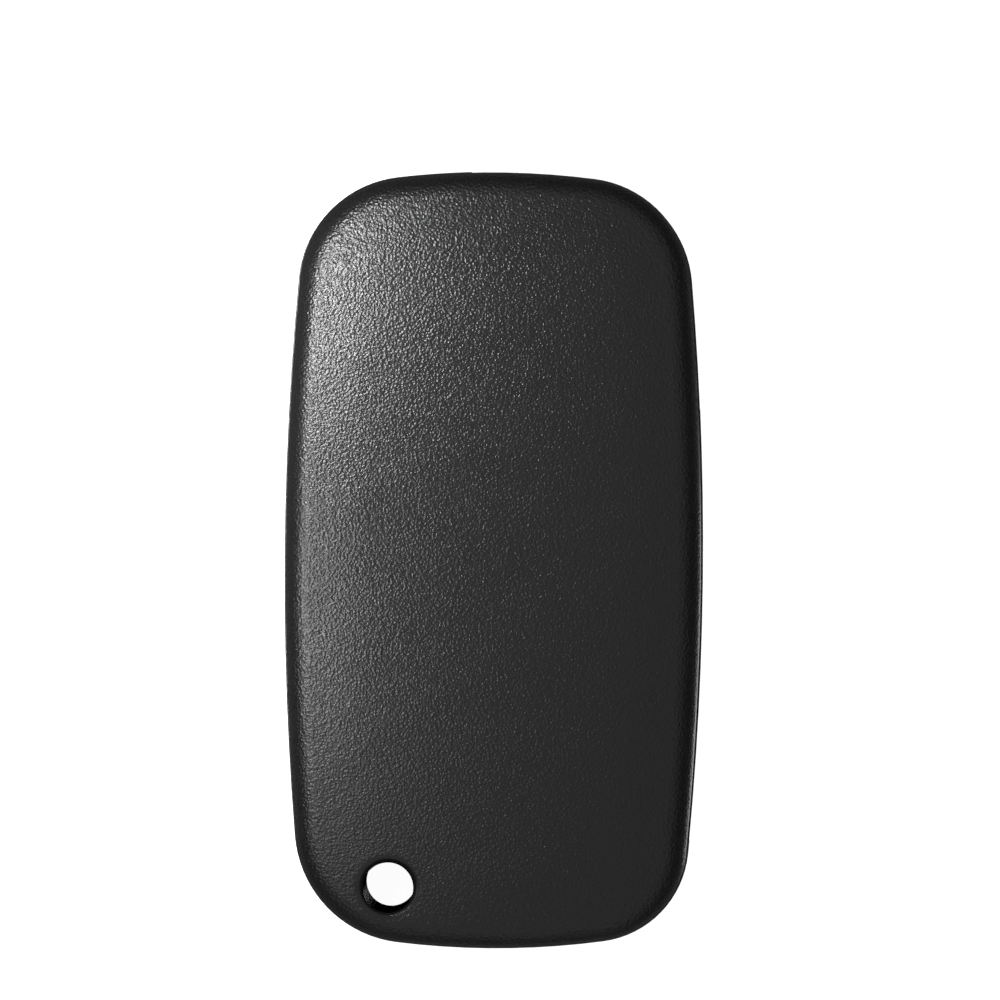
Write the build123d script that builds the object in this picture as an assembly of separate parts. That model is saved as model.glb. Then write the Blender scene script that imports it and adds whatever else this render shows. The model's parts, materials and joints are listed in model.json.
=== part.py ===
from build123d import *
import math
import os

# Flip key remote shell, lying face down: its buttons point down at the table and its plain back points up.
# Millimetres. X runs across the case, Y along it towards the hub of the blade, and Z is height above the
# table. The origin is under the middle of the case. The blade is folded along the side that faces +X.

# Case outline, seen from the back
case_length = 76.0
case_width = 41.0
side_bow_radius = 312.0
end_bow_radius = 79.5
corner_radius = 11.0
ring_corner_radius = 11.4
tip_corner_radius = 9.6

# Case section
case_thickness = 15.6
parting_height = 7.8
wall = 1.8
skin = 1.6
lip_step = 0.25
side_draft = 1.0
back_slope_width = 6.2
back_slope_drop = 0.36
back_slope_blend = 60.0
back_edge_radius = 2.4
front_edge_radius = 2.0

# Joint between the two covers
tongue_thickness = 0.75
tongue_height = 0.9
fit_gap = 0.1
snap_length = 5.0
snap_depth = 0.25
snap_height = 0.4
side_snaps_y = (-16.0, 0.0, 16.0)
hub_end_snap_x = -5.5
ring_end_snap_x = 2.0

# Keyring hole
ring_hole_from_side = 10.5
ring_hole_from_end = 6.2
ring_hole_radius = 2.45
ring_hole_rounding = 0.4
ring_tube_wall = 1.7
spigot_wall = 0.8
spigot_height = 0.8

# Hub, its journals and the room that it turns in
hub_recess = 0.6
hub_thickness = 5.5
hub_rounding = 0.5
journal_radius = 7.6
journal_gap = 0.08
journal_ring_wall = 1.5
hub_end_gap = 0.15
swing_gap = 0.3
divider = 1.0
thrust_pad_depth = 1.2
washer_thickness = 0.3
washer_gap = 0.05
head_reach = 12.5
head_cheek = 0.9

# Key blade, an uncut blank
blade_height = 8.0
blade_thickness = 2.2
blade_length = 41.0
blade_tip_chamfer = 2.2
blade_groove_width = 2.6
blade_groove_depth = 0.7
blade_groove_offset = 1.0
blade_groove_run_out = 4.7
blade_edge_rounding = 0.3
tang_height = 6.0
tang_length = 6.3
tang_gap = 0.05
roll_pin_radius = 0.8
roll_pin_bore = 0.45
roll_pin_slit = 0.3
roll_pin_gap = 0.02

# Release button, its trim and the flip spring
release_radius = 4.8
release_gap = 0.2
release_recess = 0.3
release_face = 1.9
release_wall = 0.8
release_travel = 1.8
release_tube_height = 7.3
lug_reach = 1.4
lug_width = 2.4
lug_height = 2.4
lug_pocket_height = 1.3
trim_radius = 4.1
trim_thickness = 0.6
trim_dish = 0.35
spring_wire = 0.8
spring_radius = 3.3
spring_turns = 4.5
spring_sides = 12
spring_peg_gap = 0.3
spring_end_gap = 0.12
spring_peg_height = 1.5

# Keypad on the front
recess_depth = 0.8
bezel_thickness = 0.8
bezel_side_border = 2.6
bezel_end_border = 3.6
bezel_end_gap = 1.4
bezel_corner = 6.0
bezel_gap = 0.1
keypad_floor = 0.8
keypad_side_gap = 0.43
button_bar = 2.4
button_corner = 2.6
button_rise = 0.6
button_gap = 0.15
button_travel = 0.6
button_dish = 0.18
flange_reach = 0.7
flange_thickness = 0.6
flange_gap = 0.05
post_radius = 1.3
membrane_thickness = 0.5
membrane_rim = 1.2
dome_radius = 3.2
dome_spare = 0.4
dome_slope = 1.0

# Board tray and what fastens it
tray_from_side = 3.5
tray_from_end = 11.6
tray_gap = 0.3
tray_wall = 1.2
tray_height = 5.4
tray_corner = 1.6
least_corner = 0.4
ledge_width = 1.2
ledge_height = 1.3
board_thickness = 1.0
finger_width = 4.0
finger_slit = 0.5
hook_reach = 0.5
hook_height = 1.0
ear_radius = 2.4
ear_thickness = 1.2
ear_inset = 5.0
middle_ear_shift = 2.0
lower_ear_inset = 6.0
screw_radius = 0.8
screw_hole_gap = 0.03
screw_head_radius = 1.5
screw_head_height = 0.9
screw_length = 3.4
screw_slot = 0.35
boss_radius = 1.9

# Battery seat and its clamp, in the back cover
battery_radius = 10.0
battery_gap = 0.25
battery_ring_wall = 1.0
battery_ring_depth = 4.2
clamp_thickness = 0.3
clamp_width = 6.0
clamp_base = 6.0
clamp_arm = 4.2
clamp_drop = 1.3
clamp_curl = 0.8
clamp_curl_rise = 0.5
clamp_pad_depth = 0.7
stake_radius = 0.6
stake_gap = 0.05
stake_height = 0.6
stake_offset = 1.5
hold_down_radius = 1.0
hold_down_inset = 3.2
core_bevel = 1.3

# Stiffening ribs and the transponder pocket
rib_thickness = 0.9
rib_pitch = 5.8
chip_length = 12.4
chip_width = 6.4
chip_wall = 0.8
chip_height = 3.2
chip_from_side = 10.9
chip_from_end = 13.5


def case_face(inset=0.0):
    """Flat outline of the case, drawn in all round by the inset: four shallow bows and four corners."""
    side, end = side_bow_radius - inset, end_bow_radius - inset
    side_middle = side_bow_radius - case_width / 2
    end_middle = end_bow_radius - case_length / 2
    face = (Pos(side_middle, 0) * Circle(side)) & (Pos(-side_middle, 0) * Circle(side))
    face = face & (Pos(0, end_middle) * Circle(end)) & (Pos(0, -end_middle) * Circle(end))
    corners = [(-1, 1, corner_radius), (1, 1, corner_radius)]
    corners += [(-1, -1, ring_corner_radius), (1, -1, tip_corner_radius)]
    for across, along, radius in corners:
        tip = max(face.vertices(), key=lambda v: across * v.X + along * v.Y)
        face = fillet(tip, radius - inset)
    return face


def slab(face, low, high):
    """The face as a solid between two heights."""
    return Pos(0, 0, low) * extrude(face, high - low)


def disc(radius, low, high, x=0.0, y=0.0):
    """Upright cylinder between two heights."""
    return Pos(x, y, low) * extrude(Circle(radius), high - low)


def tube(outer, inner, low, high, x=0.0, y=0.0):
    """Upright tube between two heights."""
    return Pos(x, y, low) * extrude(Circle(outer) - Circle(inner), high - low)


def block(left, right, bottom, top, low, high):
    """Upright block between the given sides."""
    face = Pos((left + right) / 2, (bottom + top) / 2) * Rectangle(right - left, top - bottom)
    return slab(face, low, high)


def corner_centres(radius):
    """Middles of the case's round corners of this radius."""
    return [edge.arc_center for edge in case_face().edges() if abs(edge.radius - radius) < 0.01]


# Plan positions that follow from the outline; the hub turns about the middle of its corner
hub_centre = max(corner_centres(corner_radius), key=lambda centre: centre.X + centre.Y)
hub_x, hub_y = hub_centre.X, hub_centre.Y
hub_radius = corner_radius - hub_recess
blade_offset = hub_radius - blade_height / 2
head_inner = blade_offset - blade_height / 2 - head_cheek
head_tip_radius = math.hypot(hub_radius, head_reach)
blade_reach = head_reach + blade_length
divider_x = hub_x + blade_offset - blade_height / 2 - swing_gap
journal_bore = journal_radius + journal_gap
journal_ring_radius = journal_bore + journal_ring_wall
bore_radius = release_radius + release_gap
keyway_radius = release_radius + lug_reach + release_gap
ring_hole_x = ring_hole_from_side - case_width / 2
ring_hole_y = ring_hole_from_end - case_length / 2
chip_x = chip_from_side - case_width / 2
chip_y = case_length / 2 - chip_from_end

# Heights that follow from the section
hub_low = parting_height - hub_thickness / 2
hub_high = parting_height + hub_thickness / 2
head_room_low, head_room_high = hub_low - hub_end_gap, hub_high + hub_end_gap
blade_room_low = parting_height - blade_thickness / 2 - swing_gap
blade_room_high = parting_height + blade_thickness / 2 + swing_gap
lug_pocket_top = skin + lug_pocket_height
journal_low = lug_pocket_top + fit_gap
thrust_pad_face = case_thickness - skin - thrust_pad_depth
washer_low = thrust_pad_face - washer_thickness
journal_high = washer_low - washer_gap
clamp_pad_low = case_thickness - skin - clamp_pad_depth
release_low = release_recess
release_inside = release_low + release_face
lug_low = skin + release_gap
lug_high = lug_low + lug_height
release_high = release_inside + release_tube_height

# Keypad stack, from the front face inwards
bezel_low = recess_depth
bezel_high = bezel_low + bezel_thickness
keypad_floor_high = bezel_high + keypad_floor
button_low = bezel_low - button_rise
flange_low = keypad_floor_high + flange_gap
flange_high = flange_low + flange_thickness
membrane_low = flange_high + flange_gap
membrane_high = membrane_low + membrane_thickness
dome_height = button_travel + dome_spare
tray_low = membrane_high
tray_high = tray_low + tray_height
ledge_high = tray_low + ledge_height

# Board tray in plan, clear of the case wall, the divider and the hub
tray_left = tray_from_side - case_width / 2
tray_bottom_y = tray_from_end - case_length / 2
tray_right = divider_x - divider - tray_gap
tray_top_y = hub_y - head_reach - swing_gap - divider - tray_gap
tray_x, tray_y = (tray_left + tray_right) / 2, (tray_bottom_y + tray_top_y) / 2
tray_width, tray_length = tray_right - tray_left, tray_top_y - tray_bottom_y
ears = [
    (tray_left + ear_inset, tray_top_y + ear_radius),
    (tray_x + middle_ear_shift, tray_top_y + ear_radius),
    (tray_right - lower_ear_inset, tray_bottom_y - ear_radius),
]
board_bay_width, board_bay_length = tray_width - 2 * tray_wall, tray_length - 2 * tray_wall
ring_tube_radius = ring_hole_radius + ring_tube_wall

# Keypad in plan: the tray's ledge limits the width of the buttons, which share the length of the bezel
ledge_inset = tray_wall + ledge_width
keypad_middle_y = tray_y
button_width = 2 * (tray_right - ledge_inset - keypad_side_gap - flange_reach)
bezel_width = button_width + 2 * bezel_side_border
bezel_length = tray_length - 2 * bezel_end_gap
button_pitch = (bezel_length - 2 * bezel_end_border + button_bar) / 3
button_height = button_pitch - button_bar


def tray_face(inset=0.0):
    """Outline of the board tray, drawn in by the inset."""
    corner = max(tray_corner - inset, least_corner)
    size = RectangleRounded(tray_width - 2 * inset, tray_length - 2 * inset, corner)
    return Pos(tray_x, tray_y) * size


def head_room_face(growth=0.0):
    """Plan of the space that the hub and its head sweep between folded and open."""
    gap = swing_gap + growth
    reach = head_tip_radius + gap
    right, bottom = head_inner - gap, -(head_reach + gap)
    lower = Pos(right + reach / 2, bottom / 2) * Rectangle(reach, -bottom)
    left = -(hub_radius + gap)
    upper = Pos((left + reach) / 2, reach / 2) * Rectangle(reach - left, reach)
    room = (Circle(reach) & (lower + upper)) + Circle(hub_radius + gap)
    return Pos(hub_x, hub_y) * room


def blade_room_face(growth=0.0):
    """Plan of the slot that the folded blade lies in, open at the side of the case."""
    left = divider_x - growth
    right = case_width / 2 + wall
    bottom = hub_y - blade_reach - swing_gap - growth
    return Pos((left + right) / 2, (bottom + hub_y) / 2) * Rectangle(right - left, hub_y - bottom)


def swing_room():
    """The space in both covers that the blade, its head and the hub turn through."""
    head = slab(head_room_face(), head_room_low, head_room_high)
    blade = slab(blade_room_face(), blade_room_low, blade_room_high)
    return head + blade


def divider_face():
    """Plan of the wall that keeps the blade and the hub apart from the electronics."""
    wide = head_room_face(divider) + blade_room_face(divider)
    return (wide - head_room_face() - blade_room_face()) & case_face(wall / 2)


def channel_ribs(low, high):
    """Ribs across the blade slot, whose ends carry the edge of the slot."""
    bottom = hub_y - blade_reach
    count = int(blade_length / rib_pitch)
    ribs = []
    for number in range(count):
        y = bottom + (number + 0.5) * blade_length / count
        ribs.append(block(divider_x - divider, case_width / 2, y, y + rib_thickness, low, high))
    return Part() + ribs


def journal_gussets(low, high):
    """Short ribs between the journal ring and the corner of the case."""
    inner, half = journal_ring_radius - journal_ring_wall / 2, rib_thickness / 2
    gussets = []
    for angle in range(-30, 121, 30):
        rib = block(inner, corner_radius, -half, half, low, high)
        gussets.append(Pos(hub_x, hub_y) * Rot(0, 0, angle) * rib)
    return Part() + gussets


def ring_hole():
    """Tool for the keyring hole, with its eased rims front and back."""
    outside = wall
    flare = ring_hole_radius + ring_hole_rounding + outside
    section = Polyline(
        (0, -outside),
        (flare, -outside),
        (ring_hole_radius, ring_hole_rounding),
        (ring_hole_radius, ring_hole_top() - ring_hole_rounding),
        (flare, ring_hole_top() + outside),
        (0, ring_hole_top() + outside),
        (0, -outside),
    )
    return Pos(ring_hole_x, ring_hole_y) * revolve(Plane.XZ * make_face(section), Axis.Z)


def ring_hole_top():
    """Height of the back where the keyring hole comes through its slope."""
    middle = min(corner_centres(ring_corner_radius), key=lambda centre: centre.X + centre.Y)
    from_edge = ring_corner_radius - math.hypot(ring_hole_x - middle.X, ring_hole_y - middle.Y)
    return case_thickness - back_slope_drop * max(0.0, 1 - from_edge / (lip_step + back_slope_width))


def snap_places():
    """Where the covers snap together: place on the tongue and the turn of the outline there."""
    places = []
    tongue_outside = wall - tongue_thickness
    for y in side_snaps_y:
        x = side_bow_radius - case_width / 2 - math.sqrt((side_bow_radius - tongue_outside) ** 2 - y**2)
        places.append((x, y, 180.0))
    for x, end in ((hub_end_snap_x, 1), (ring_end_snap_x, -1)):
        y = math.sqrt((end_bow_radius - tongue_outside) ** 2 - x**2) - end_bow_radius + case_length / 2
        places.append((x, end * y, 90.0 * end))
    return places


def snaps(growth=0.0):
    """Snap ridges on the tongue, or with some growth the notches that take them."""
    reach = snap_depth + growth
    middle = parting_height + tongue_height / 2
    ridge = Box(2 * reach, snap_length + 2 * growth, snap_height + 2 * growth)
    ridge = chamfer(ridge.edges().filter_by(Axis.Y), min(reach, snap_height / 2) / 2)
    return [Pos(x, y, middle) * Rot(0, 0, turn) * ridge for x, y, turn in snap_places()]


def make_front_cover():
    """Front half: face, keypad seat, journal ring, lock pocket, tongue, bosses and ribs."""
    body = slab(case_face(), 0, parting_height)
    rim = body.faces().sort_by(Axis.Z)[0].edges()
    shell = fillet(rim, front_edge_radius) - slab(case_face(wall), skin, parting_height)
    core = slab(case_face(wall / 2), skin / 2, parting_height)

    floor_face = Pos(0, keypad_middle_y) * RectangleRounded(
        bezel_width + 2 * wall, bezel_length + 2 * wall, bezel_corner
    )
    features = [
        slab(floor_face & case_face(wall), 0, keypad_floor_high),
        slab(divider_face(), 0, parting_height),
        slab(tray_face(tray_wall / 2) - tray_face(tray_wall / 2 + membrane_rim), 0, membrane_low),
        tube(journal_ring_radius, keyway_radius, 0, head_room_low, hub_x, hub_y),
        disc(ring_tube_radius, 0, parting_height, ring_hole_x, ring_hole_y),
        channel_ribs(0, blade_room_low),
        journal_gussets(0, head_room_low),
        Pos(chip_x, chip_y) * block(
            -chip_length / 2 - chip_wall, chip_length / 2 + chip_wall,
            -chip_width / 2 - chip_wall, chip_width / 2 + chip_wall, 0, skin + chip_height,
        ),
    ]
    features += [disc(boss_radius, 0, tray_low, x, y) for x, y in ears]
    shell += [feature & core for feature in features]
    shell += slab(case_face(wall - tongue_thickness) - case_face(wall), parting_height - wall,
                  parting_height + tongue_height)
    shell += snaps()

    bezel_pocket = Pos(0, keypad_middle_y) * RectangleRounded(bezel_width, bezel_length, bezel_corner)
    spigot_hole = ring_hole_radius + spigot_wall + fit_gap
    pilot_low = tray_low + ear_thickness - screw_length - fit_gap
    shell -= slab(bezel_pocket, 0, bezel_high)
    shell -= slab(button_faces(button_gap), 0, keypad_floor_high)
    shell -= swing_room()
    shell -= disc(journal_bore, lug_pocket_top, parting_height, hub_x, hub_y)
    shell -= disc(bore_radius, 0, parting_height, hub_x, hub_y)
    spigot_low = parting_height - spigot_height - fit_gap
    shell -= disc(spigot_hole, spigot_low, parting_height, ring_hole_x, ring_hole_y)
    shell -= Pos(chip_x, chip_y) * block(
        -chip_length / 2, chip_length / 2, -chip_width / 2, chip_width / 2, skin, skin + chip_height
    )
    shell -= [disc(screw_radius + screw_hole_gap, pilot_low, tray_low, x, y) for x, y in ears]
    shell -= ring_hole()
    return shell


def nearest(corners, across, up):
    """The corner nearest to a point of a flat section."""
    return min(corners, key=lambda v: math.hypot(v.X - across, v.Y - up))


def make_back_form():
    """Solid outer form of the back: drafted sides, round edge, and a slope that rises to the flat middle.

    A ring with that section, drawn with its distance in from the outline and its height, trims the slab.
    """
    lean = math.tan(math.radians(side_draft))
    shoulder = case_thickness - back_slope_drop
    edge_inset = lip_step + (shoulder - parting_height) * lean
    slope_end = edge_inset + back_slope_width
    blend_reach = back_slope_blend * math.tan(math.atan(back_slope_drop / back_slope_width) / 2)
    inner, outer = slope_end + 1.1 * blend_reach, -wall
    section = Polyline(
        (outer, parting_height - wall),
        (lip_step - wall * lean, parting_height - wall),
        (edge_inset, shoulder),
        (slope_end, case_thickness),
        (inner, case_thickness),
        (inner, case_thickness + wall),
        (outer, case_thickness + wall),
        (outer, parting_height - wall),
    )
    section = make_face(section)
    section = fillet(nearest(section.vertices(), edge_inset, shoulder), back_edge_radius)
    section = fillet(nearest(section.vertices(), slope_end, case_thickness), back_slope_blend)

    path = case_face().faces()[0].outer_wire()
    start, along = path @ 0, path % 0
    inward = Vector(0, 0, 1).cross(along)
    if inward.dot(start) > 0:
        inward = -inward
    plane = Plane(origin=start, x_dir=inward, z_dir=inward.cross(Vector(0, 0, 1)))
    return slab(case_face(), parting_height, case_thickness) - sweep(plane * section, path=path)


def make_back_cover():
    """Back half: the domed back, battery seat, journal ring, spring peg, groove and ribs."""
    shell = make_back_form() - slab(case_face(wall), parting_height, case_thickness - skin)
    core = slab(case_face(wall / 2), parting_height, case_thickness - skin / 2)
    core = chamfer(core.faces().sort_by(Axis.Z)[-1].edges(), core_bevel)

    peg_radius = spring_radius - spring_wire / 2 - spring_peg_gap
    ring_radius = battery_radius + battery_gap
    features = [
        slab(divider_face(), parting_height, case_thickness),
        tube(journal_ring_radius, journal_bore, head_room_high, case_thickness, hub_x, hub_y),
        disc(journal_ring_radius, thrust_pad_face, case_thickness, hub_x, hub_y),
        disc(peg_radius, thrust_pad_face - spring_peg_height, case_thickness, hub_x, hub_y),
        disc(ring_tube_radius, parting_height, case_thickness, ring_hole_x, ring_hole_y),
        channel_ribs(blade_room_high, case_thickness),
        journal_gussets(head_room_high, case_thickness),
        tube(ring_radius + battery_ring_wall, ring_radius, case_thickness - skin - battery_ring_depth,
             case_thickness, tray_x, tray_y),
        block(tray_x - clamp_base / 2, tray_x + clamp_base / 2, tray_y - clamp_width / 2,
              tray_y + clamp_width / 2, clamp_pad_low, case_thickness),
    ]
    for side in (-1, 1):
        stake_y = tray_y + side * stake_offset
        features.append(disc(stake_radius, clamp_pad_low - stake_height, case_thickness, tray_x, stake_y))
        for end in (-1, 1):
            x = tray_x + side * (tray_width - tray_wall) / 2
            y = tray_y + end * (tray_length / 2 - hold_down_inset)
            features.append(disc(hold_down_radius, tray_high + fit_gap, case_thickness, x, y))
    shell += [feature & core for feature in features]

    groove = case_face(wall - tongue_thickness - fit_gap) - case_face(wall + fit_gap)
    shell -= slab(groove, parting_height, parting_height + tongue_height + fit_gap)
    shell -= snaps(fit_gap)
    shell -= swing_room()
    tang = spring_wire / 2 + fit_gap / 2
    shell -= block(hub_x - peg_radius, hub_x + peg_radius, hub_y - tang, hub_y + tang,
                   parting_height, thrust_pad_face)
    shell += tube(ring_hole_radius + spigot_wall, ring_hole_radius, parting_height - spigot_height,
                  parting_height + spigot_height, ring_hole_x, ring_hole_y)
    shell -= ring_hole()
    return shell


def button_faces(growth=0.0):
    """Outlines of the three buttons, grown for the windows that they pass through."""
    faces = [Pos(0, y) * button_face(growth) for y in button_places()]
    return Sketch() + faces


def button_face(growth=0.0):
    """Outline of one button at the origin."""
    return RectangleRounded(button_width + 2 * growth, button_height + 2 * growth, button_corner + growth)


def button_places():
    """Middles of the three buttons along the case: lock nearest to the hub, then unlock, then boot."""
    return [keypad_middle_y + button_pitch * step for step in (1, 0, -1)]


def make_button():
    """One hard button at the origin: dished cap, flange that keeps it in, and post that meets the dome."""
    cap = slab(button_face(), button_low, flange_low)
    cap = chamfer(cap.faces().sort_by(Axis.Z)[0].edges(), button_rise / 2)
    dish_radius = (button_height**2 / 4 + button_dish**2) / (2 * button_dish)
    dish = Rot(0, 90, 0) * Cylinder(dish_radius, button_width)
    cap -= Pos(0, 0, button_low + button_dish - dish_radius) * dish
    flange = slab(button_face(flange_reach), flange_low, flange_high)
    post = disc(post_radius, flange_high, membrane_high + dome_height - membrane_thickness - flange_gap)
    return cap + flange + post


def make_bezel():
    """Gloss panel glued in the front recess, with a window for each button."""
    face = Pos(0, keypad_middle_y) * RectangleRounded(
        bezel_width - 2 * bezel_gap, bezel_length - 2 * bezel_gap, bezel_corner - bezel_gap
    )
    panel = slab(face, bezel_low, bezel_high)
    panel = chamfer(panel.faces().sort_by(Axis.Z)[0].edges(), bezel_thickness / 4)
    return panel - slab(button_faces(button_gap), bezel_low, bezel_high)


def make_membrane():
    """Rubber sheet with a hollow dome behind each button."""
    sheet = slab(tray_face(tray_wall / 2), membrane_low, membrane_high)
    dome = Pos(0, 0, membrane_high) * extrude(Circle(dome_radius), dome_height, taper=dome_taper())
    dome_inside = dome_radius - dome_height - membrane_thickness
    hollow = disc(dome_inside, membrane_low, membrane_high + dome_height - membrane_thickness)
    for y in button_places():
        sheet += Pos(0, y) * dome
        sheet -= Pos(0, y) * hollow
    return sheet


def dome_taper():
    """Angle of the dome's side."""
    return math.degrees(math.atan2(dome_slope, dome_height))


def make_tray():
    """Open frame that holds the circuit board: ledge, four snap fingers and three screw ears."""
    frame = slab(tray_face() - tray_face(tray_wall), tray_low, tray_high)
    frame += slab(tray_face(tray_wall / 2) - tray_face(ledge_inset), tray_low, ledge_high)
    board_top = ledge_high + board_thickness + fit_gap
    hook = Polyline(
        (0, 0), (-hook_reach, 0), (-hook_reach, hook_height / 3), (0, hook_height), (0, 0)
    )
    wedge = extrude(Plane.XZ * make_face(hook), finger_width / 2, both=True)
    slit_box = Box(2 * tray_wall, finger_slit, tray_high - ledge_high)
    slit_height = (ledge_high + tray_high) / 2
    for side in (-1, 1):
        turn = Rot(0, 0, 0 if side > 0 else 180)
        wall_x = tray_x + side * (tray_width - tray_wall) / 2
        for end in (-1, 1):
            y = tray_y + end * board_bay_length / 4
            for slit in (-1, 1):
                frame -= Pos(wall_x, y + slit * (finger_width + finger_slit) / 2, slit_height) * slit_box
            frame += Pos(tray_x + side * board_bay_width / 2, y, board_top) * turn * wedge
    for x, y in ears:
        inward = tray_y - y
        reach = ear_radius + tray_wall / 2
        neck = block(x - ear_radius, x + ear_radius, min(y, y + math.copysign(reach, inward)),
                     max(y, y + math.copysign(reach, inward)), tray_low, tray_low + ear_thickness)
        frame += disc(ear_radius, tray_low, tray_low + ear_thickness, x, y) + neck
    frame -= [disc(screw_radius + screw_hole_gap, tray_low, tray_high, x, y) for x, y in ears]
    return frame


def make_screws():
    """The tray's three screws, each with a cross recess."""
    seat = tray_low + ear_thickness
    top = seat + screw_head_height
    screw = disc(screw_radius, seat - screw_length, seat) + disc(screw_head_radius, seat, top)
    for turn in (0, 90):
        slot = Box(2 * screw_radius, screw_slot, screw_head_height)
        screw -= Pos(0, 0, top) * Rot(0, 0, turn) * slot
    return Compound([Pos(x, y) * screw for x, y in ears])


def make_clamp():
    """Spring steel battery clamp: a base staked to the back cover and two arms that press on the cell."""
    middle = clamp_pad_low - clamp_thickness / 2
    half = clamp_base / 2
    tip = half + clamp_arm
    line = Polyline(
        (-tip - clamp_curl, middle - clamp_drop + clamp_curl_rise), (-tip, middle - clamp_drop),
        (-half, middle), (half, middle),
        (tip, middle - clamp_drop), (tip + clamp_curl, middle - clamp_drop + clamp_curl_rise),
    )
    strip = extrude(Plane.XZ * trace(line, clamp_thickness), clamp_width / 2, both=True)
    strip = Pos(tray_x, tray_y) * strip
    for side in (-1, 1):
        strip -= disc(stake_radius + stake_gap, 0, case_thickness, tray_x, tray_y + side * stake_offset)
    return strip


def make_hub():
    """Hub at the origin: disc, head that grips the blade, journals, bore with keyways, hole for the pin."""
    head_width = hub_radius - head_inner
    head = Pos(head_inner + head_width / 2, -head_reach / 2) * Rectangle(head_width, head_reach)
    plan = Circle(hub_radius) + head
    hub = slab(plan, hub_low, hub_high)
    edges = hub.faces().sort_by(Axis.Z)[0].edges() + hub.faces().sort_by(Axis.Z)[-1].edges()
    hub = chamfer(edges, hub_rounding)
    hub += disc(journal_radius, journal_low, journal_high)
    hub -= disc(bore_radius, journal_low, journal_high)
    for side in (-1, 1):
        key_half = lug_width / 2 + fit_gap
        keyway = block(min(0, side * keyway_radius), max(0, side * keyway_radius), -key_half, key_half,
                       journal_low, lug_high + release_travel + release_gap)
        hub -= keyway & disc(keyway_radius, journal_low, journal_high)
    tang_half = tang_height / 2 + tang_gap
    slot_half = blade_thickness / 2 + tang_gap
    hub -= block(blade_offset - tang_half, blade_offset + tang_half,
                 -head_reach, -head_reach + tang_length + tang_gap,
                 parting_height - slot_half, parting_height + slot_half)
    pin_x, pin_y = pin_place()
    hub -= disc(roll_pin_radius + roll_pin_gap, hub_low, hub_high, pin_x, pin_y)
    return hub


def pin_place():
    """Where the roll pin crosses the tang, from the hub's axis."""
    return blade_offset, -head_reach + tang_length / 2


def make_blade():
    """Uncut key blade from the hub's axis: tang, shoulders, milled grooves and bevelled tip."""
    half, tip_y = blade_height / 2, -blade_reach
    outline = Polyline(
        (-half, -head_reach), (-half, tip_y + blade_tip_chamfer), (-half + blade_tip_chamfer, tip_y),
        (half - blade_tip_chamfer, tip_y), (half, tip_y + blade_tip_chamfer), (half, -head_reach),
        (-half, -head_reach),
    )
    low, high = parting_height - blade_thickness / 2, parting_height + blade_thickness / 2
    blade = slab(make_face(outline), low, high)
    flat_edges = blade.edges().filter_by(Plane.XY)
    free_edges = flat_edges.filter_by(lambda edge: edge.center().Y < -head_reach - blade_edge_rounding)
    blade = chamfer(free_edges, blade_edge_rounding)
    blade += block(-tang_height / 2, tang_height / 2, -head_reach, -head_reach + tang_length, low, high)
    groove = SlotOverall(2 * (blade_length - blade_groove_run_out), blade_groove_width)
    for side, level in ((-1, low), (1, high)):
        floor = level - side * blade_groove_depth
        cut = Pos(side * blade_groove_offset, tip_y) * Rot(0, 0, 90) * groove
        blade -= slab(cut, min(level, floor), max(level, floor))
    blade = Pos(blade_offset, 0) * blade
    pin_x, pin_y = pin_place()
    return blade - disc(roll_pin_radius + roll_pin_gap, low, high, pin_x, pin_y)


def make_roll_pin():
    """Split spring pin that holds the blade in the hub."""
    pin_x, pin_y = pin_place()
    low, high = hub_low + hub_rounding / 2, hub_high - hub_rounding / 2
    pin = tube(roll_pin_radius, roll_pin_bore, low, high, pin_x, pin_y)
    half = roll_pin_slit / 2
    return pin - block(pin_x, pin_x + roll_pin_radius, pin_y - half, pin_y + half, low, high)


def make_release_button():
    """Release button at the hub's axis: closed face, tube for the spring, two lugs that lock the hub."""
    body = disc(release_radius, release_low, release_high)
    body -= disc(release_radius - release_wall, release_inside, release_high)
    lugs = block(-release_radius - lug_reach, release_radius + lug_reach, -lug_width / 2, lug_width / 2,
                 lug_low, lug_high)
    lugs &= tube(release_radius + lug_reach, release_radius - release_wall / 2, lug_low, lug_high)
    body += lugs
    body -= disc(trim_radius + fit_gap / 2, release_low, release_low + trim_thickness)
    peg_radius = spring_radius - spring_wire / 2 - spring_peg_gap
    peg = disc(peg_radius, release_inside, release_inside + spring_peg_height)
    tang = spring_wire / 2 + fit_gap / 2
    peg -= block(-peg_radius, peg_radius, -tang, tang, release_inside, release_inside + spring_peg_height)
    body += peg
    return chamfer(body.faces().sort_by(Axis.Z)[0].outer_wire().edges(), release_gap)


def make_release_trim():
    """Bright dished disc set in the face of the release button."""
    trim = disc(trim_radius, release_low, release_low + trim_thickness)
    rim = trim_radius - trim_thickness
    dish = Pos(0, 0, release_low) * extrude(Circle(rim), trim_dish, taper=45)
    return trim - dish


def make_washer():
    """Thin washer at the hub's axis, between the hub and the pad of the back cover."""
    return tube(journal_radius - fit_gap, bore_radius + release_gap, washer_low, thrust_pad_face)


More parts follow.
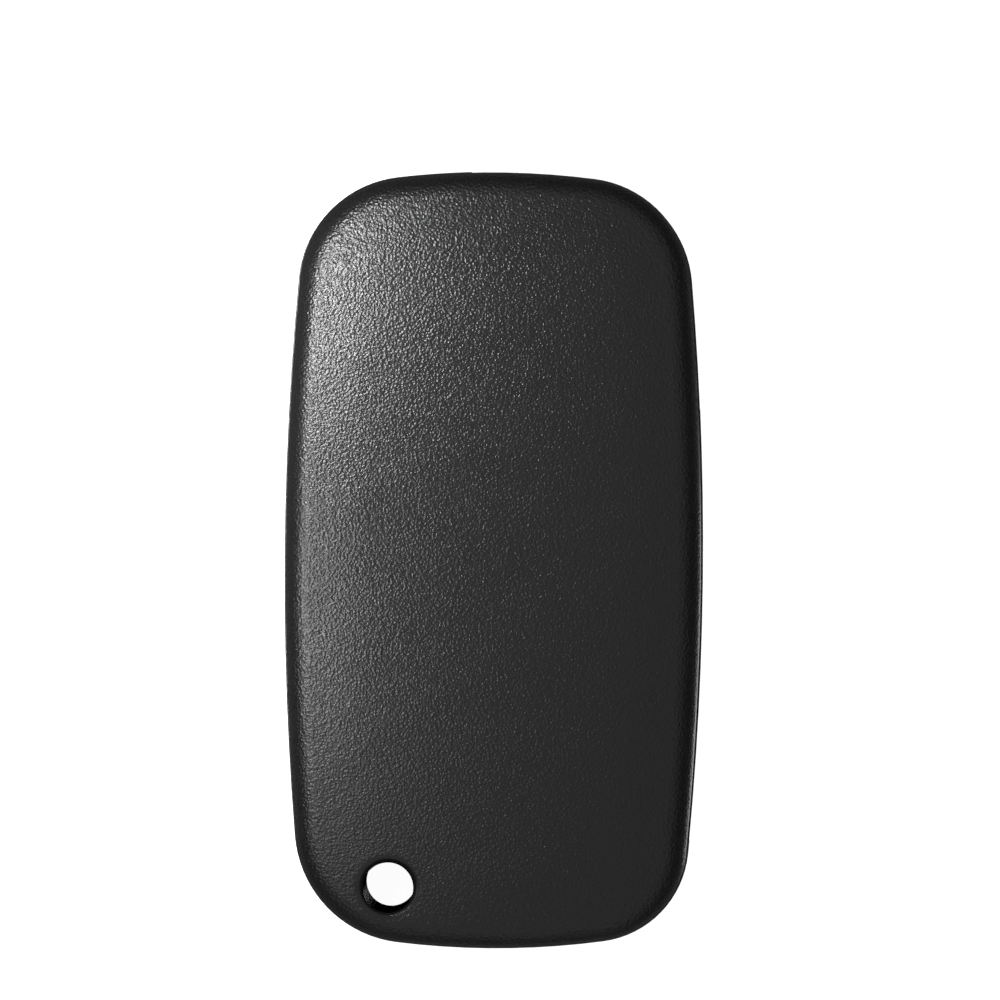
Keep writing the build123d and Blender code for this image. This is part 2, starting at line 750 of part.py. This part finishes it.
def make_spring():
    """Flip spring at the hub's axis: it turns the hub open and pushes the release button out.

    Each turn is drawn as short straight lengths of square wire.
    """
    low = release_inside + spring_wire / 2 + spring_end_gap
    high = thrust_pad_face - spring_wire / 2 - spring_end_gap
    steps = round(spring_turns * spring_sides)
    points = []
    for number in range(steps + 1):
        angle = 2 * math.pi * number / spring_sides
        across, along = spring_radius * math.cos(angle), spring_radius * math.sin(angle)
        points.append((across, along, low + (high - low) * number / steps))
    path = Polyline(*points)
    wire = Plane(origin=points[0], x_dir=(1, 0, 0), z_dir=path % 0) * Rectangle(spring_wire, spring_wire)
    coil = sweep(wire, path=path, transition=Transition.RIGHT)
    half = spring_wire / 2
    for turn, height in ((0, low), (360 * spring_turns, high)):
        tang = block(-half, spring_radius + half, -half, half, height - half, height + half)
        coil += Rot(0, 0, turn) * tang
    return coil


def at_hub(shape):
    """Carries a piece drawn about the origin to the hub's axis."""
    return Pos(hub_x, hub_y) * shape


nodes = {
    "front_cover": make_front_cover(),
    "back_cover": make_back_cover(),
    "keypad_bezel": make_bezel(),
    "keypad_membrane": make_membrane(),
    "board_tray": make_tray(),
    "tray_screws": make_screws(),
    "battery_clamp": make_clamp(),
    "thrust_washer": at_hub(make_washer()),
    "blade_hub": at_hub(make_hub()),
    "key_blade": at_hub(make_blade()),
    "blade_roll_pin": at_hub(make_roll_pin()),
    "release_button": at_hub(make_release_button()),
    "release_trim": at_hub(make_release_trim()),
    "flip_spring": at_hub(make_spring()),
}
button = make_button()
for name, y in zip(("lock_button", "unlock_button", "boot_button"), button_places()):
    nodes[name] = Pos(0, y) * button

os.makedirs("parts", exist_ok=True)
for name, shape in nodes.items():
    export_step(shape, f"parts/{name}.step")
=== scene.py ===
import json
import math

import bmesh
import bpy
from mathutils import Matrix, Quaternion, Vector


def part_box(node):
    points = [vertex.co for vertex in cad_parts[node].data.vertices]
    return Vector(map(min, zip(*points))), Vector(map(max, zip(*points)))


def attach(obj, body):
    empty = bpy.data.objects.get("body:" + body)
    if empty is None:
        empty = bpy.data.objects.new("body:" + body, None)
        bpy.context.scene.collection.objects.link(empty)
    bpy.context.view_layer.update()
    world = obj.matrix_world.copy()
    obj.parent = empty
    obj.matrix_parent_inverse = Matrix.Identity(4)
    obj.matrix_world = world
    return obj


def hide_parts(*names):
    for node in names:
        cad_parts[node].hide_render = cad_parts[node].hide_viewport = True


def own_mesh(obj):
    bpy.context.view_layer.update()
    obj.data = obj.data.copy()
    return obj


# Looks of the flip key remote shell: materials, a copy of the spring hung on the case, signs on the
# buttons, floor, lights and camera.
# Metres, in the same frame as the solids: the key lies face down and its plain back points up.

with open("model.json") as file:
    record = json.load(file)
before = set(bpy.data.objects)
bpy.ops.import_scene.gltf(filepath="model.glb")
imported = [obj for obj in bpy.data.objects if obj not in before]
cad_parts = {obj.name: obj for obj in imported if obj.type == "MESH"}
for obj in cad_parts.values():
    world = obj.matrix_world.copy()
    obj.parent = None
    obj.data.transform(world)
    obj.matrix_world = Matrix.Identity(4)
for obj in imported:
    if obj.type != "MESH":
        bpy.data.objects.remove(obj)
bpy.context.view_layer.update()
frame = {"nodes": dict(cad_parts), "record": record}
nodes = frame["nodes"]

MM = 0.001
record = frame["record"]
ring_hole = next(row for row in record["mounts"] if row["name"] == "keyring_hole")
ring_radius = ring_hole["dims"]["r_mm"] * MM

# Round the keyring hole the plastic is worn smooth. Its grain comes back between two distances from the
# hole's wall.
worn_roughness = 0.12
worn_to = 0.45 * MM
grain_from = 0.9 * MM

# Height of the grain's cells beside its finer noise
cell_share = 0.9

# Flow of the moulded plastic: direction, and marks per metre across and along it
flow_turn = math.radians(28)
flow_across = 150
flow_along = 55

# Marks in metal, per metre along each axis: the same every way, or brushed along Y
fine_marks = (5000, 5000, 5000)
brushed_along_y = (9000, 400, 9000)


class Graph:
    """Shorthand for building one node material."""

    def __init__(self, name):
        self.material = bpy.data.materials.new(name)
        self.material.use_nodes = True
        self.tree = self.material.node_tree
        self.shader = self.tree.nodes["Principled BSDF"]
        self.output = self.tree.nodes["Material Output"]

    def node(self, kind, **values):
        made = self.tree.nodes.new(kind)
        for key, value in values.items():
            setattr(made, key, value)
        return made

    def link(self, source, target):
        self.tree.links.new(source, target)

    def place(self):
        """Coordinates of the surface in the frame, in metres."""
        return self.node("ShaderNodeTexCoord").outputs["Object"]

    def noise(self, scale, detail=2.0, rough=0.5, distortion=0.0, vector=None):
        made = self.node("ShaderNodeTexNoise")
        made.inputs["Scale"].default_value = scale
        made.inputs["Detail"].default_value = detail
        made.inputs["Roughness"].default_value = rough
        made.inputs["Distortion"].default_value = distortion
        self.link(vector or self.place(), made.inputs["Vector"])
        return made.outputs["Fac"]

    def cells(self, scale):
        made = self.node("ShaderNodeTexVoronoi")
        made.inputs["Scale"].default_value = scale
        self.link(self.place(), made.inputs["Vector"])
        return made.outputs["Distance"]

    def ramp(self, source, low, high, out_low=0.0, out_high=1.0):
        """Maps the source from one range to another, held at both ends."""
        made = self.node("ShaderNodeMapRange")
        made.inputs["From Min"].default_value = low
        made.inputs["From Max"].default_value = high
        made.inputs["To Min"].default_value = out_low
        made.inputs["To Max"].default_value = out_high
        self.link(source, made.inputs["Value"])
        return made.outputs["Result"]

    def math(self, kind, first, second):
        """Combines two numbers or sockets, such as by ADD, SUBTRACT or MULTIPLY."""
        made = self.node("ShaderNodeMath", operation=kind)
        for socket, value in zip(made.inputs, (first, second)):
            if isinstance(value, (int, float)):
                socket.default_value = value
            else:
                self.link(value, socket)
        return made.outputs["Value"]

    def mix(self, factor, first, second):
        """Mixes two colours."""
        made = self.node("ShaderNodeMix", data_type="RGBA")
        self.link(factor, made.inputs[0])
        made.inputs[6].default_value = (*first, 1)
        made.inputs[7].default_value = (*second, 1)
        return made.outputs[2]

    def bump(self, height, depth, normal):
        made = self.node("ShaderNodeBump")
        made.inputs["Strength"].default_value = 1.0
        made.inputs["Distance"].default_value = depth
        self.link(height, made.inputs["Height"])
        self.link(normal, made.inputs["Normal"])
        return made.outputs["Normal"]

    def soft_edges(self, radius):
        """Normal with the sharp edges rounded off."""
        made = self.node("ShaderNodeBevel", samples=4)
        made.inputs["Radius"].default_value = radius
        return made.outputs["Normal"]

    def stretched(self, x, y, z, turn=0.0):
        """Coordinates turned about Z and scaled along each axis, for brushed, drawn or flow marks."""
        turned = self.node("ShaderNodeMapping")
        turned.inputs["Rotation"].default_value = (0, 0, turn)
        self.link(self.place(), turned.inputs["Vector"])
        made = self.node("ShaderNodeMapping")
        made.inputs["Scale"].default_value = (x, y, z)
        self.link(turned.outputs["Vector"], made.inputs["Vector"])
        return made.outputs["Vector"]

    def off_axis(self, centre):
        """Distance from the upright line through a point."""
        flat = self.node("ShaderNodeVectorMath", operation="MULTIPLY")
        flat.inputs[1].default_value = (1, 1, 0)
        self.link(self.place(), flat.inputs[0])
        made = self.node("ShaderNodeVectorMath", operation="DISTANCE")
        made.inputs[1].default_value = (centre[0], centre[1], 0)
        self.link(flat.outputs["Vector"], made.inputs[0])
        return made.outputs["Value"]

    def set(self, **values):
        """Plain values on the shader's own sockets."""
        names = {
            "specular": "Specular IOR Level",
            "metallic": "Metallic",
            "roughness": "Roughness",
            "coat": "Coat Weight",
            "coat_roughness": "Coat Roughness",
            "sheen": "Sheen Weight",
        }
        for key, value in values.items():
            self.shader.inputs[names[key]].default_value = value


def moulded(name, dark, light, roughness, pitch, depth, wave=0.0, edge=0.15 * MM, worn=False):
    """Moulded plastic with spark-eroded grain: cells, a finer noise, and a slow waviness where wave is set.

    Pitch is the width of a cell and depth the height of the grain. Worn plastic is rubbed smooth in and
    round the keyring hole.
    """
    g = Graph(name)
    slow = g.noise(260, detail=3.0, rough=0.55)
    cells = g.cells(1 / pitch)
    fine = g.noise(1.5 / pitch, detail=1.0)
    height = g.math("ADD", g.math("MULTIPLY", cells, cell_share), fine)
    shine = g.ramp(slow, 0.35, 0.65, roughness - 0.02, roughness + 0.02)
    if worn:
        kept = g.ramp(g.off_axis(ring_hole["pos_m"]), ring_radius + worn_to, ring_radius + grain_from)
        height = g.math("MULTIPLY", height, kept)
        extra = g.math("SUBTRACT", shine, worn_roughness)
        shine = g.math("ADD", worn_roughness, g.math("MULTIPLY", extra, kept))
    normal = g.soft_edges(edge)
    if wave:
        turned = g.stretched(flow_along, flow_across, flow_along, -flow_turn)
        flow = g.noise(1.0, detail=1.0, rough=0.4, distortion=0.3, vector=turned)
        normal = g.bump(flow, wave, normal)
    normal = g.bump(height, depth, normal)
    g.link(normal, g.shader.inputs["Normal"])
    g.link(g.mix(g.ramp(fine, 0.35, 0.7), dark, light), g.shader.inputs["Base Color"])
    g.link(shine, g.shader.inputs["Roughness"])
    g.set(specular=0.5)
    return g.material


def polished(name, dark, light, roughness):
    """Polished black plastic with faint swirl marks and dust-fine pits."""
    g = Graph(name)
    marks = g.noise(900, detail=4.0, rough=0.7)
    pits = g.noise(9000)
    normal = g.bump(marks, 0.004 * MM, g.soft_edges(0.1 * MM))
    g.link(normal, g.shader.inputs["Normal"])
    g.link(g.mix(g.ramp(pits, 0.55, 0.75), dark, light), g.shader.inputs["Base Color"])
    g.link(g.ramp(marks, 0.3, 0.7, roughness, roughness + 0.08), g.shader.inputs["Roughness"])
    g.set(specular=0.5, coat=0.4, coat_roughness=0.05)
    return g.material


def metal(name, dark, light, roughness, depth, marks=fine_marks, edge=0.08 * MM, metallic=1.0):
    """Metal with fine or brushed marks, uneven tone and soft edges."""
    g = Graph(name)
    brush = g.noise(1.0, detail=4.0, rough=0.65, vector=g.stretched(*marks))
    cloud = g.noise(320, detail=3.0, rough=0.6)
    normal = g.bump(brush, depth, g.soft_edges(edge))
    g.link(normal, g.shader.inputs["Normal"])
    both = g.math("MULTIPLY", g.math("ADD", brush, cloud), 0.5)
    g.link(g.mix(g.ramp(both, 0.35, 0.65), dark, light), g.shader.inputs["Base Color"])
    g.link(g.ramp(cloud, 0.3, 0.7, roughness - 0.05, roughness + 0.08), g.shader.inputs["Roughness"])
    g.set(metallic=metallic)
    return g.material


def rubber(name, dark, light):
    """Silicone rubber with a fine matt bloom."""
    g = Graph(name)
    bloom = g.noise(1500, detail=4.0, rough=0.6)
    normal = g.bump(g.noise(7000), 0.006 * MM, g.soft_edges(0.12 * MM))
    g.link(normal, g.shader.inputs["Normal"])
    g.link(g.mix(g.ramp(bloom, 0.3, 0.7), dark, light), g.shader.inputs["Base Color"])
    g.link(g.ramp(bloom, 0.3, 0.7, 0.62, 0.75), g.shader.inputs["Roughness"])
    g.set(specular=0.4, sheen=0.15)
    return g.material


def grey(value):
    """Grey with a trace of blue."""
    return (value, value, value * 1.03)


back_plastic = moulded("back_plastic", grey(0.006), grey(0.010), roughness=0.29, pitch=0.285 * MM,
                       depth=0.060 * MM, wave=0.15 * MM, edge=0.3 * MM, worn=True)
case_plastic = moulded("case_plastic", grey(0.006), grey(0.009), roughness=0.30, pitch=0.30 * MM,
                       depth=0.040 * MM, worn=True)
button_plastic = moulded("button_plastic", grey(0.018), grey(0.026), roughness=0.4, pitch=0.11 * MM,
                         depth=0.008 * MM)
hub_plastic = moulded("hub_plastic", grey(0.014), grey(0.022), roughness=0.38, pitch=0.12 * MM,
                      depth=0.008 * MM)
tray_plastic = moulded("tray_plastic", grey(0.03), grey(0.045), roughness=0.45, pitch=0.2 * MM,
                       depth=0.01 * MM)
gloss_panel = polished("gloss_panel", grey(0.008), grey(0.014), roughness=0.12)
silicone = rubber("silicone", grey(0.06), grey(0.085))
blade_steel = metal("blade_steel", (0.5, 0.49, 0.47), (0.72, 0.71, 0.68), roughness=0.24,
                    depth=0.004 * MM, marks=brushed_along_y)
spring_steel = metal("spring_steel", (0.4, 0.4, 0.39), (0.58, 0.58, 0.57), roughness=0.3,
                     depth=0.004 * MM)
plated_steel = metal("plated_steel", (0.55, 0.55, 0.53), (0.7, 0.7, 0.68), roughness=0.25,
                     depth=0.003 * MM)
bright_trim = metal("bright_trim", (0.75, 0.75, 0.76), (0.86, 0.86, 0.87), roughness=0.08,
                    depth=0.0006 * MM)
symbol_print = metal("symbol_print", (0.5, 0.5, 0.51), (0.62, 0.62, 0.63), roughness=0.42,
                     depth=0.002 * MM, edge=0.01 * MM, metallic=0.3)

materials = {
    "front_cover": case_plastic,
    "back_cover": back_plastic,
    "keypad_bezel": gloss_panel,
    "keypad_membrane": silicone,
    "board_tray": tray_plastic,
    "tray_screws": plated_steel,
    "battery_clamp": spring_steel,
    "thrust_washer": plated_steel,
    "flip_spring": spring_steel,
    "blade_hub": hub_plastic,
    "key_blade": blade_steel,
    "blade_roll_pin": spring_steel,
    "release_button": button_plastic,
    "release_trim": bright_trim,
    "lock_button": button_plastic,
    "unlock_button": button_plastic,
    "boot_button": button_plastic,
}
for name, material in materials.items():
    for slot in nodes[name].material_slots:
        slot.material = material


def squeezed_spring(name, node):
    """Copy of the spring with a mesh of its own, hung on the case in place of the rigid part."""
    rigid = nodes[node]
    piece = bpy.data.objects.new(name, rigid.data.copy())
    piece.matrix_world = rigid.matrix_world.copy()
    bpy.context.scene.collection.objects.link(piece)
    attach(piece, "case")
    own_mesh(piece)
    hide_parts(node)


squeezed_spring("flip_spring_coil", "flip_spring")


class Symbol:
    """Thin stamped sign that follows the dished face of one button.

    Sign coordinates are in millimetres from the middle of the button, as its user sees it from the
    front: u to the right, which is -X of the frame, and v towards the hub. It stands proud of the
    button's skin, is sunk a little into it, and its lines are one width.
    """

    proud = 0.03
    sunk = 0.02
    line = 0.3

    def __init__(self, name, node, body):
        self.name, self.button, self.body = name, nodes[node], body
        box_low, box_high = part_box(node)
        self.middle = (Vector(box_low) + Vector(box_high)) / 2
        self.below = box_low[2] - 1 * MM
        self.points, self.faces = [], []

    def pair(self, u, v):
        """Adds the sign's outer point and its root under the button's skin."""
        start = Vector((self.middle.x - u * MM, self.middle.y + v * MM, self.below))
        hit, place, _, _ = self.button.ray_cast(start, Vector((0, 0, 1)))
        if not hit:
            raise ValueError("the sign runs off " + self.button.name)
        self.points += [place - Vector((0, 0, self.proud * MM)), place + Vector((0, 0, self.sunk * MM))]
        return len(self.points) - 2

    def wall(self, first, second):
        self.faces.append((first, first + 1, second + 1, second))

    def patch(self, outline):
        """Filled shape inside a closed outline."""
        ring = [self.pair(u, v) for u, v in outline]
        self.faces.append(tuple(ring))
        self.faces.append(tuple(i + 1 for i in reversed(ring)))
        for first, second in zip(ring, ring[1:] + ring[:1]):
            self.wall(second, first)

    def ribbon(self, path):
        """Line of even width along an open path, with mitred corners."""
        left, right = [], []
        for i, (u, v) in enumerate(path):
            before = Vector(path[max(i, 1)]) - Vector(path[max(i, 1) - 1])
            after = Vector(path[i + 1]) - Vector(path[i]) if i + 1 < len(path) else before
            across = (before.normalized() + after.normalized()).orthogonal().normalized()
            reach = self.line / 2 / across.dot(after.orthogonal().normalized())
            left.append(self.pair(u + across.x * reach, v + across.y * reach))
            right.append(self.pair(u - across.x * reach, v - across.y * reach))
        for a, b, c, d in zip(left, left[1:], right[1:], right):
            self.faces += [(a, d, c, b), (a + 1, b + 1, c + 1, d + 1)]
            self.wall(a, b)
            self.wall(c, d)
        self.wall(right[0], left[0])
        self.wall(left[-1], right[-1])

    def build(self):
        mesh = bpy.data.meshes.new(self.name)
        mesh.from_pydata(self.points, [], self.faces)
        mesh.materials.append(symbol_print)
        shape = bmesh.new()
        shape.from_mesh(mesh)
        bmesh.ops.recalc_face_normals(shape, faces=shape.faces)
        shape.to_mesh(mesh)
        shape.free()
        piece = bpy.data.objects.new(self.name, mesh)
        bpy.context.scene.collection.objects.link(piece)
        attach(piece, self.body)


def arc(middle, radius, start, end, steps):
    """Points along an arc, from one angle to another in degrees."""
    turns = [math.radians(start + (end - start) * i / steps) for i in range(steps + 1)]
    return [(middle[0] + radius * math.cos(turn), middle[1] + radius * math.sin(turn)) for turn in turns]


def rounded(half_width, bottom, top, corner):
    """Outline of a rectangle with round corners, about the v axis."""
    side, low_row, high_row = half_width - corner, bottom + corner, top - corner
    return (arc((side, low_row), corner, -90, 0, 4) + arc((side, high_row), corner, 0, 90, 4)
            + arc((-side, high_row), corner, 90, 180, 4) + arc((-side, low_row), corner, 180, 270, 4))


shackle_radius = 0.68


def padlock(name, node, body, shackle_shift):
    """Padlock: closed with no shift, open with the shackle shifted to one side."""
    sign = Symbol(name, node, body)
    body_half, body_low, body_top, body_corner = 1.15, -1.4, 0.3, 0.25
    sign.patch(rounded(body_half, body_low, body_top, body_corner))
    leg_low, bow_row = body_top + 0.02, body_top + 0.5
    free_end = bow_row - 0.1 if shackle_shift else leg_low
    bow = arc((shackle_shift, bow_row), shackle_radius, 180, 0, 12)
    legs = [(shackle_shift - shackle_radius, leg_low), (shackle_shift + shackle_radius, free_end)]
    sign.ribbon(legs[:1] + bow + legs[1:])
    sign.build()


def open_boot(name, node, body):
    """Car from the side, front to the left, with its boot lid up."""
    sign = Symbol(name, node, body)
    sill, wheel, axle = -0.75, 0.42, 1.4
    gap = wheel + 0.14
    sign.ribbon([(-axle - gap, sill), (-2.5, sill), (-2.5, -0.2), (-1.3, 0.1), (-0.65, 0.85), (0.7, 0.85),
                 (1.3, 0.1), (2.5, 0.0), (2.5, sill), (axle + gap, sill)])
    sign.ribbon([(gap - axle, sill), (axle - gap, sill)])
    for side in (-1, 1):
        sign.patch(arc((side * axle, sill), wheel, 0, 345, 23))
    sign.ribbon([(1.6, 0.45), (2.45, 1.35)])
    sign.build()


padlock("lock_symbol", "lock_button", "lock_key", shackle_shift=0.0)
padlock("unlock_symbol", "unlock_button", "unlock_key", shackle_shift=2 * shackle_radius)
open_boot("boot_symbol", "boot_button", "boot_key")


def glowing_paper(name, glow):
    """Pale paper that glows evenly upwards and is clear from below."""
    g = Graph(name)
    tone = g.ramp(g.noise(30, detail=3.0), 0.3, 0.7)
    g.link(g.mix(tone, (0.86, 0.86, 0.86), (0.9, 0.9, 0.9)), g.shader.inputs["Base Color"])
    g.shader.inputs["Emission Color"].default_value = (1, 1, 1, 1)
    g.shader.inputs["Emission Strength"].default_value = glow
    g.set(roughness=0.9, specular=0.1)
    clear = g.node("ShaderNodeBsdfTransparent")
    sides = g.node("ShaderNodeMixShader")
    g.link(g.node("ShaderNodeNewGeometry").outputs["Backfacing"], sides.inputs[0])
    g.link(g.shader.outputs["BSDF"], sides.inputs[1])
    g.link(clear.outputs["BSDF"], sides.inputs[2])
    g.link(sides.outputs["Shader"], g.output.inputs["Surface"])
    return g.material


# Floor, just under the key, in no reflection
floor_size = 3.0
floor_gap = 0.05 * MM
bpy.ops.mesh.primitive_plane_add(size=floor_size, location=(0, 0, -floor_gap))
floor = bpy.context.object
floor.name = "floor"
floor.data.materials.append(glowing_paper("floor_paper", glow=0.95))
floor.visible_glossy = False


def softbox(name, place, target, width, height, radiance, turn=0.0):
    """Area light that faces a point and isn't seen itself. Its places and sizes are in millimetres."""
    data = bpy.data.lights.new(name, "AREA")
    data.shape = "RECTANGLE"
    data.size = width * MM
    data.size_y = height * MM
    data.energy = radiance * math.pi * data.size * data.size_y
    light = bpy.data.objects.new(name, data)
    light.location = Vector(place) * MM
    facing = (Vector(target) - Vector(place)).to_track_quat("-Z", "Y")
    light.rotation_euler = (facing @ Quaternion((0, 0, 1), turn)).to_euler()
    light.visible_camera = False
    bpy.context.scene.collection.objects.link(light)


lamp_height = 44


def lamp_above(name, x, y, width, height, radiance, turn):
    """Lamp a little above the key and to its left, pointing straight down.

    Three of them make the speckled highlight on the back.
    """
    softbox(name, (x, y, lamp_height), (x, y, 0), width, height, radiance, turn)


lamp_above("key", -25.9, 26.9, width=4.9, height=27.4, radiance=70.0, turn=-0.48)
lamp_above("second", -31.5, -6.8, width=7.2, height=19.6, radiance=19.0, turn=-0.84)
lamp_above("fill", -40.7, -3.5, width=36.9, height=66.7, radiance=1.5, turn=0.43)
softbox("low", (0, -160, 90), (0, -30, 10), width=200, height=120, radiance=0.32)
softbox("below", (100, -20, -240), (0, 0, 0), width=60, height=160, radiance=1.5)

# Surroundings: pale overhead, dark round the sides, grey below the floor and black straight down.
# Each row has a height, from 0 straight down to 1 straight up, and the brightness there.
surroundings = ((0.02, 0.0), (0.07, 0.12), (0.25, 0.12), (0.40, 0.05), (0.70, 0.05), (0.94, 0.40))
world = bpy.data.worlds.new("studio")
world.use_nodes = True
tree = world.node_tree
direction = tree.nodes.new("ShaderNodeTexCoord")
split = tree.nodes.new("ShaderNodeSeparateXYZ")
upward = tree.nodes.new("ShaderNodeMapRange")
upward.inputs["From Min"].default_value = -1.0
sky = tree.nodes.new("ShaderNodeValToRGB")
steps = sky.color_ramp.elements
steps[0].position = surroundings[0][0]
steps[1].position = surroundings[-1][0]
for step_height, _ in surroundings[1:-1]:
    steps.new(step_height)
for step, (_, brightness) in zip(steps, surroundings):
    step.color = (brightness, brightness, brightness, 1)
tree.links.new(direction.outputs["Generated"], split.inputs[0])
tree.links.new(split.outputs["Z"], upward.inputs["Value"])
tree.links.new(upward.outputs["Result"], sky.inputs["Fac"])
tree.links.new(sky.outputs["Color"], tree.nodes["Background"].inputs["Color"])
tree.nodes["Background"].inputs["Strength"].default_value = 1.08
bpy.context.scene.world = world
bpy.context.scene.view_settings.view_transform = "Standard"

# Camera, nearly straight above the key, turned a third of a degree as in the photograph
camera_place = Vector((6.3, 0.4, 693.9)) * MM
camera_target = Vector((0.61, 5.82, 13.0)) * MM
camera_turn = 0.006
camera_data = bpy.data.cameras.new("camera")
camera_data.lens = 252.4
camera_data.sensor_width = 36
camera_data.clip_start = 0.01
camera_data.clip_end = 10
camera = bpy.data.objects.new("camera", camera_data)
upright = Vector((-math.sin(camera_turn), math.cos(camera_turn), 0))
back = (camera_place - camera_target).normalized()
right = upright.cross(back).normalized()
axes = Matrix((right, back.cross(right), back)).transposed().to_4x4()
camera.matrix_world = Matrix.Translation(camera_place) @ axes
bpy.context.scene.collection.objects.link(camera)
bpy.context.scene.camera = camera
